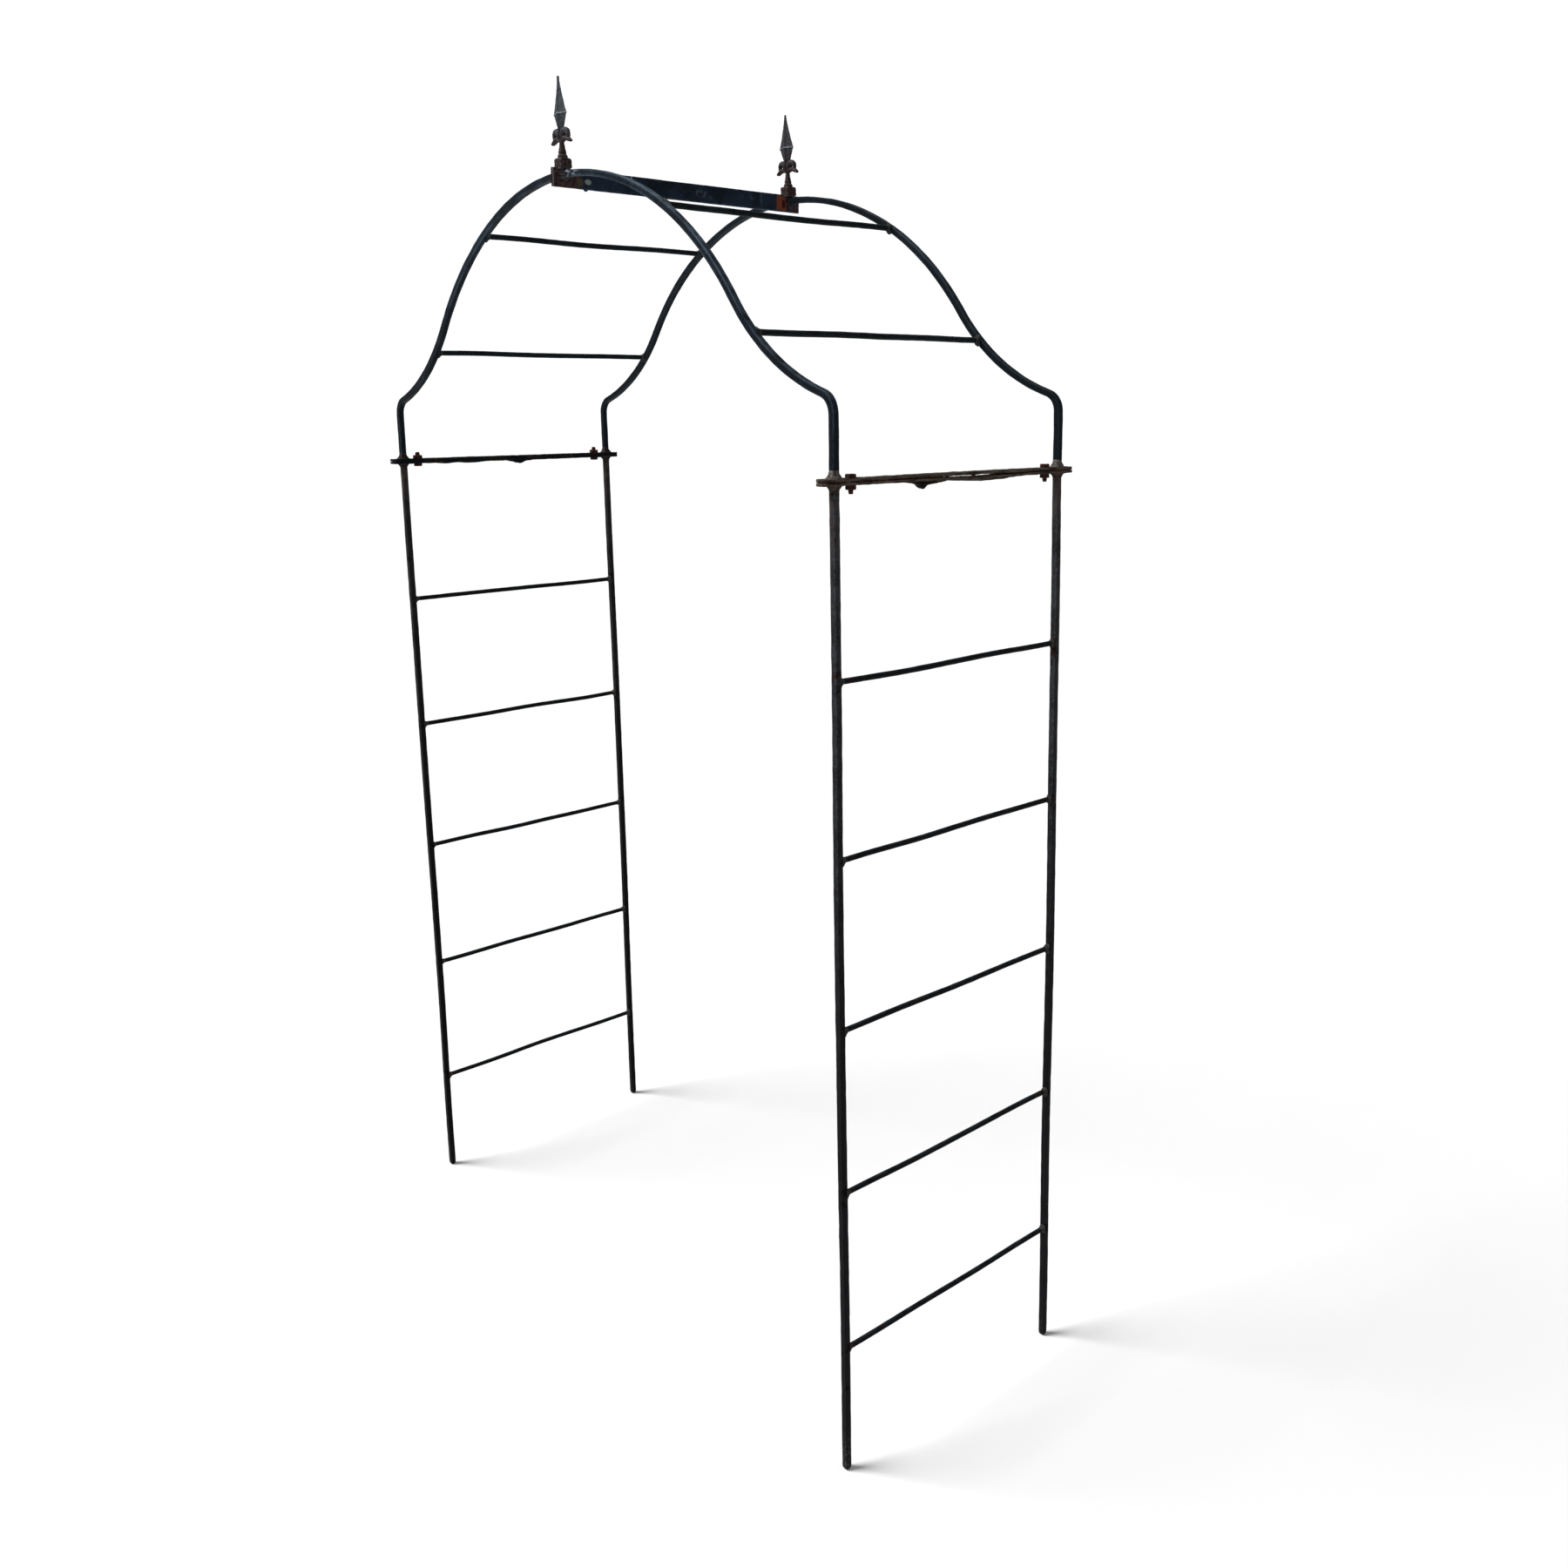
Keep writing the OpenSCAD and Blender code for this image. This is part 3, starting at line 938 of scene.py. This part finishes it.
def ridge_welds(end, seed):
    """Two hoop halves on the sides of the ridge bar, and the finial's block on top of it."""
    crown = Shell()
    for side in (-1, 1):
        seed += SEED_STEP
        at = Vector((side * RIDGE_HIGH.x, ENDS[end] * LEG_Y, HOOP[-1][1]))
        square_weld(crown, at, X * side, Y, Z, BAR / 2, 5.0, 2.6, 8, seed)
    crown_look = weld_bright if end == "front" else weld_left
    piece(f"{end}_crown_welds", crown, crown_look, "hoop_paint", (), ((0.7, 3.5),), seed)
    foot = Shell()
    at = Vector((0, ENDS[end] * LEG_Y, RIDGE_HIGH.z - 1.5))
    square_weld(foot, at, Z, X, Y, 8.0, 1.5, 4.0, 4.5, seed + 5)
    piece(f"{end}_finial_weld", foot, weld_bright, "ridge_paint", (), ((0.5, 3),), seed)
    return seed


def all_welds():
    """Every weld bead of the arch, with a seed that moves on from one joint to the next."""
    seed = 1.0
    for side in SIDES:
        seed = rung_welds(side, seed)
        seed = flat_bar_welds(side, seed)
    for end in ENDS:
        seed = ridge_welds(end, seed)


# -------- bolts and nuts
HEX_AF = 14
BOLT_R = 4
THREAD_PITCH = 1.25
THREAD_DEPTH = 0.6
CHAMFER_FROM = 0.475 * HEX_AF
CHAMFER_SLOPE = 1.7
RUST_SWELL = 1.14
FASTENER_LUMPS = ((0.3, 4), (0.15, 1.5))
SEGMENTS = 36


def hex_ring(centre, up, limit, size=1.0):
    """Hexagon ring, no further out than limit before it is scaled by size."""
    ring = []
    for turn in turns(SEGMENTS):
        within = turn % (math.pi / 3) - math.pi / 6
        r = size * min(HEX_AF / 2 / math.cos(within), limit)
        ring.append(centre + Vector((r * math.cos(turn), r * math.sin(turn), up)))
    return ring


def chamfered(levels, low, high, low_cut, high_cut):
    """Widest radius at each level of a hexagon with chamfered ends."""
    for z in levels:
        limit = math.inf
        if low_cut:
            limit = min(limit, CHAMFER_FROM + (z - low) * CHAMFER_SLOPE)
        if high_cut:
            limit = min(limit, CHAMFER_FROM + (high - z) * CHAMFER_SLOPE)
        yield z, limit


def bolt(name, at, head_up, seed):
    """Hexagon head on the flat bars, and a threaded shank that wastes away at its tail.

    The right bolts have their heads up. The left ones are the other way round, with swollen tails."""
    low, high = span(f"{name}_bolt")
    up = 1 if head_up else -1
    face = HOOP_FOOT_Z if head_up else LEG_TOP
    top, tail = (high.z, low.z) if head_up else (low.z, high.z)
    head_h = abs(top - face)
    levels = [0, 1.5, 3.0, head_h - 1.0, head_h - 0.7, head_h - 0.4, head_h]
    rings = [hex_ring(at, face + up * z, limit) for z, limit in chamfered(levels, 0, head_h, False, True)]
    rings.append(hex_ring(at, face + up * head_h, 3.0))
    shell = Shell()
    shell.loft(rings)
    rings = []
    shank = abs(tail - face)
    for s in steps(-1.0, shank, 0.25):
        waste = 1 - 0.22 * max(0.0, (s - shank + 6) / 6) ** 2
        ring = []
        for j, turn in enumerate(turns(24)):
            phase = (s / THREAD_PITCH + j / 24) % 1
            crest = abs(2 * phase - 1)
            r = (BOLT_R - THREAD_DEPTH * (1 - crest)) * waste
            if not head_up:
                r += 0.9 * hump(s, shank - 3, 6)
            ring.append(at + Vector((r * math.cos(turn), r * math.sin(turn), face - up * s)))
        rings.append(ring)
    shell.loft(rings)
    piece(f"{name}_hex_bolt", shell, fastener, "rusted_fastener", [f"{name}_bolt"], FASTENER_LUMPS, seed)


def nut(name, at, swell, seed):
    """Hexagon nut, chamfered at both ends, with a bore of its own."""
    low, high = (corner.z for corner in span(f"{name}_nut"))
    mid = (low + high) / 2
    levels = [low, low + 0.35, low + 0.7, mid, high - 0.7, high - 0.35, high]
    rings = [hex_ring(at, z, limit, swell) for z, limit in chamfered(levels, low, high, True, True)]
    for z in (high, mid, low):
        rings.append([at + Vector((p, q, z)) for p, q in circle(BOLT_R + 0.05, SEGMENTS)])
    shell = Shell()
    shell.loft(rings, closed=True)
    piece(f"{name}_hex_nut", shell, fastener, "rusted_fastener", [f"{name}_nut"], FASTENER_LUMPS, seed)


def bolt_and_nut(side, end, seed):
    name = f"{side}_{end}"
    head_up = side == "right"
    at = middle(f"{name}_bolt")
    at.z = 0
    bolt(name, at, head_up, seed)
    nut(name, at, 1.0 if head_up else RUST_SWELL, seed + 4)


# -------- finials
VOXEL = 0.5
FINIAL_LEAN = {"front": 1.4, "rear": 2.2}
BLOCK_W = 21
LEAF_MIDDLE = (12.6, 49.6)
LEAF_REACH = (7.6, 7.4)


def lathe(shell, profile):
    """A round form on the Z axis. profile holds its (z, radius) points."""
    rings = []
    for z, radius in profile:
        rings.append([Vector((p, q, z)) for p, q in circle(radius, 32)])
    shell.loft(rings)


def lobe(shell, side, path, groove):
    """A fat tapering lobe of a leaf, with a groove of the given depth along its back.

    path holds (x, z, half thickness, half width) points."""
    rings = []
    for i, (x, z, thick, wide) in enumerate(path):
        before = path[max(0, i - 1)]
        after = path[min(len(path) - 1, i + 1)]
        along = Vector((side * (after[0] - before[0]), 0, after[1] - before[1])).normalized()
        out = along.cross(Y) * -side
        middle_line = Vector((side * x, 0, z))
        ring = []
        for turn in turns(24):
            dent = 1 - groove * math.exp(-((math.remainder(turn, 2 * math.pi) / 0.42) ** 2))
            ring.append(middle_line + out * (thick * math.cos(turn) * dent) + Y * (wide * math.sin(turn)))
        rings.append(ring)
    shell.loft(rings)


def leaf(shell, side):
    """One drooping leaf: a lobe that rises from the stem and turns over, and a lip with its tip out."""
    over = []
    for angle in range(205, -30, -15):
        a = math.radians(angle)
        t = (205 - angle) / 235
        swell = math.sin(math.pi * min(1.0, 0.15 + t))
        x = LEAF_MIDDLE[0] + LEAF_REACH[0] * math.cos(a)
        z = LEAF_MIDDLE[1] + LEAF_REACH[1] * math.sin(a)
        over.append((x, z, 3.5 + 2.3 * swell, 3.8 + 2.4 * swell))
    lobe(shell, side, over, 0.3)
    lip = (
        (1, 41, 2.8, 3.4), (5, 43.5, 3.6, 4.2), (11, 45.4, 4.2, 4.6), (17, 44.6, 4.2, 4.6),
        (22, 42.2, 3.8, 4.2), (26, 40.2, 3.1, 3.5), (28.6, 39.8, 2.2, 2.6),
    )
    lobe(shell, side, lip, 0.15)


def blade(width, thick, z):
    """Section of the spear: a lozenge with blunt edges, and a narrow rib up the middle of each face."""
    ring = []
    for turn in turns(48):
        c, d = math.cos(turn), math.sin(turn)
        reach = 1 / (abs(c) + abs(d))
        raised = 0.22 * math.exp(-((abs(c) / 0.16) ** 2))
        hollow = 0.10 * math.exp(-(((abs(c) - 0.42) / 0.2) ** 2))
        rib = 1 + raised - hollow
        ring.append(Vector((c * reach * (width / 2 + 0.5), d * reach * rib * (thick / 2), z)))
    return ring


def block_and_stem(shell):
    """Square block at the foot, a round moulding on it, and the stem that carries the leaves."""
    outline = rounded(BLOCK_W, BLOCK_W, 0.8, 4)
    block = ((0.0, 1.0), (1.0, 1.02), (6.0, 0.98), (11.5, 1.0), (13.4, 0.97), (14.6, 0.9), (15.4, 0.78))
    shell.loft([section(Vector((0, 0, z)), X, Y, outline, size) for z, size in block])
    lathe(shell, (
        (13, 6.5), (15, 7.0), (16.4, 8.1), (18.6, 8.2), (20.2, 7.4), (21.6, 6.0), (22.6, 6.3), (24.2, 6.7),
        (25.4, 6.2), (28, 5.6), (33, 4.7), (38, 4.1), (43, 3.8), (50, 3.9), (58, 4.2),
    ))


def spear(shell, height):
    """Flat spear head: it widens from the stem to a ridge across it, then tapers to its point."""
    sections = (
        (3, 5, 38), (9, 11, 48), (14, 10.4, 57), (25, 10.8, 70), (35, 11.4, WIDEST - 2),
        (39.5, 12.8, WIDEST - 0.8), (40, 13.2, WIDEST + 0.4), (37, 11.2, WIDEST + 1.6),
    )
    rings = [blade(*entry) for entry in sections]
    start = WIDEST + 1.6
    for t in steps(0, 1, 0.08)[1:]:
        taper = (1 - t) ** 1.25
        rings.append(blade(4.0 + 32 * taper, 4.0 + 7 * taper, start + (height - start) * t))
    shell.loft(rings)


def fuse(obj):
    """Makes one cast skin of the shells in an object, with its inner corners softened."""
    remesh = obj.modifiers.new("remesh", "REMESH")
    remesh.mode = "VOXEL"
    remesh.voxel_size = VOXEL * MM
    smooth = obj.modifiers.new("smooth", "SMOOTH")
    smooth.factor = 0.5
    smooth.iterations = 1
    graph = bpy.context.evaluated_depsgraph_get()
    solid = bpy.data.meshes.new_from_object(obj.evaluated_get(graph))
    obj.modifiers.clear()
    obj.data = solid


def finial(end, seed):
    """Cast finial, leaning a little to the left."""
    node = f"{end}_finial"
    low, high = span(node)
    shell = Shell()
    block_and_stem(shell)
    for side in (-1, 1):
        leaf(shell, side)
    spear(shell, high.z - low.z)
    lean = math.tan(math.radians(FINIAL_LEAN[end]))
    at_y = ENDS[end] * LEG_Y
    shell.points = [Vector((p.x - lean * p.z, p.y + at_y, p.z + low.z)) for p in shell.points]
    obj = shell_object(f"{node}_casting", shell)
    fuse(obj)
    finish_piece(obj, casting, [node], ((0.3, 6), (0.2, 2.2)), seed)


# -------- the whole arch
def build_arch():
    """Every piece of the arch, each with a seed of its own for its lumps and drift."""
    seed = 1
    for side in SIDES:
        for end in ENDS:
            leg(side, end, seed)
            hoop(side, end, seed + 40)
            bolt_and_nut(side, end, seed + 80)
            seed += 1
    for node in rung_nodes():
        rung(node, seed)
        seed += 1
    for side in SIDES:
        flat_bar(f"{side}_panel_flat_bar", side, False, seed)
        flat_bar(f"{side}_arch_flat_bar", side, True, seed + 1)
        seed += 2
    ridge()
    for end in ENDS:
        finial(end, seed)
        seed += 1
    all_welds()
    right_scale = (
        (-104, 0), (-88, 1.5), (-79, 4), (-72, 9.5), (-69, 10.5),
        (-63, 6), (-52, 4.2), (-40, 3), (-28, 2), (-18, 0),
    )
    left_scale = ((-6, 0), (4, 2.0), (12, 4.2), (20, 6.0), (24, 5.6), (30, 2.2), (40, 1.0), (48, 0))
    flake("right_flat_bar_flake", right_scale, 643, 656, rust_scale, 5)
    flake("left_flat_bar_flake", left_scale, -656, -640, flat_left, 6)


build_arch()


# -------- camera, floor and light
CAMERA_AT = (2124.0, -1565.1, 1650.8)
CAMERA_YAW = 46.493
CAMERA_DOWN = 11.26
CAMERA_ROLL = -0.442
LENS = 32.82
SENSOR = 36
SHIFT_X = -0.0579
SHIFT_Y = -0.0597
FILL_LIGHT = 0.35
BACKDROP = 1.05
FLOOR_HALF = 60
FLOOR_GREY = 0.512


def make_camera():
    """Camera in front and to the right, at eye height. Its yaw, tilt and roll are in degrees."""
    yaw = math.radians(CAMERA_YAW)
    down = math.radians(CAMERA_DOWN)
    roll = math.radians(CAMERA_ROLL)
    back = Vector((math.sin(yaw) * math.cos(down), -math.cos(yaw) * math.cos(down), math.sin(down)))
    right = (-back).cross(Z).normalized()
    up = right.cross(-back)
    right_rolled = right * math.cos(roll) + up * math.sin(roll)
    up_rolled = up * math.cos(roll) - right * math.sin(roll)
    data = bpy.data.cameras.new("camera")
    data.sensor_width = SENSOR
    data.lens = LENS
    data.shift_x = SHIFT_X
    data.shift_y = SHIFT_Y
    data.clip_end = 200
    camera = bpy.data.objects.new("camera", data)
    into_scene(camera)
    matrix = camera.matrix_world.copy()
    for row in range(3):
        matrix[row][0] = right_rolled[row]
        matrix[row][1] = up_rolled[row]
        matrix[row][2] = back[row]
        matrix[row][3] = CAMERA_AT[row] * MM
    camera.matrix_world = matrix
    bpy.context.scene.camera = camera


def sun(name, towards, strength, softness):
    """A distant soft light. towards points to it, and softness is its width in degrees."""
    data = bpy.data.lights.new(name, "SUN")
    data.energy = strength
    data.angle = math.radians(softness)
    lamp = bpy.data.objects.new(name, data)
    lamp.rotation_mode = "QUATERNION"
    lamp.rotation_quaternion = Vector(towards).to_track_quat("Z", "Y")
    into_scene(lamp)


def make_floor():
    """Pale matt floor, far wider than the view."""
    corners = [(x * FLOOR_HALF, y * FLOOR_HALF, 0) for x, y in ((-1, -1), (1, -1), (1, 1), (-1, 1))]
    mesh = bpy.data.meshes.new("floor")
    mesh.from_pydata(corners, [], [(0, 1, 2, 3)])
    floor = bpy.data.objects.new("floor", mesh)
    into_scene(floor)
    material = bpy.data.materials.new("pale_floor")
    material.use_nodes = True
    shader = material.node_tree.nodes["Principled BSDF"]
    shader.inputs["Base Color"].default_value = (FLOOR_GREY, FLOOR_GREY, FLOOR_GREY, 1)
    shader.inputs["Roughness"].default_value = 1.0
    shader.inputs["Specular IOR Level"].default_value = 0.0
    mesh.materials.append(material)


def make_world():
    """White backdrop. It gives less light than it shows, so that the lamps model the shapes."""
    world = bpy.data.worlds.new("studio")
    world.use_nodes = True
    tree = world.node_tree
    background = tree.nodes["Background"]
    background.inputs["Color"].default_value = (1, 1, 1, 1)
    seen = tree.nodes.new("ShaderNodeLightPath").outputs["Is Camera Ray"]
    level = tree.nodes.new("ShaderNodeMapRange")
    level.inputs["To Min"].default_value = FILL_LIGHT
    level.inputs["To Max"].default_value = BACKDROP
    tree.links.new(seen, level.inputs["Value"])
    tree.links.new(level.outputs[0], background.inputs["Strength"])
    bpy.context.scene.world = world
    bpy.context.scene.view_settings.view_transform = "Standard"


make_camera()
make_floor()
make_world()
sun("key", (-0.413, -0.492, 0.766), 6.4, 26)
sun("side", (0.85, -0.25, 0.46), 0.7, 90)
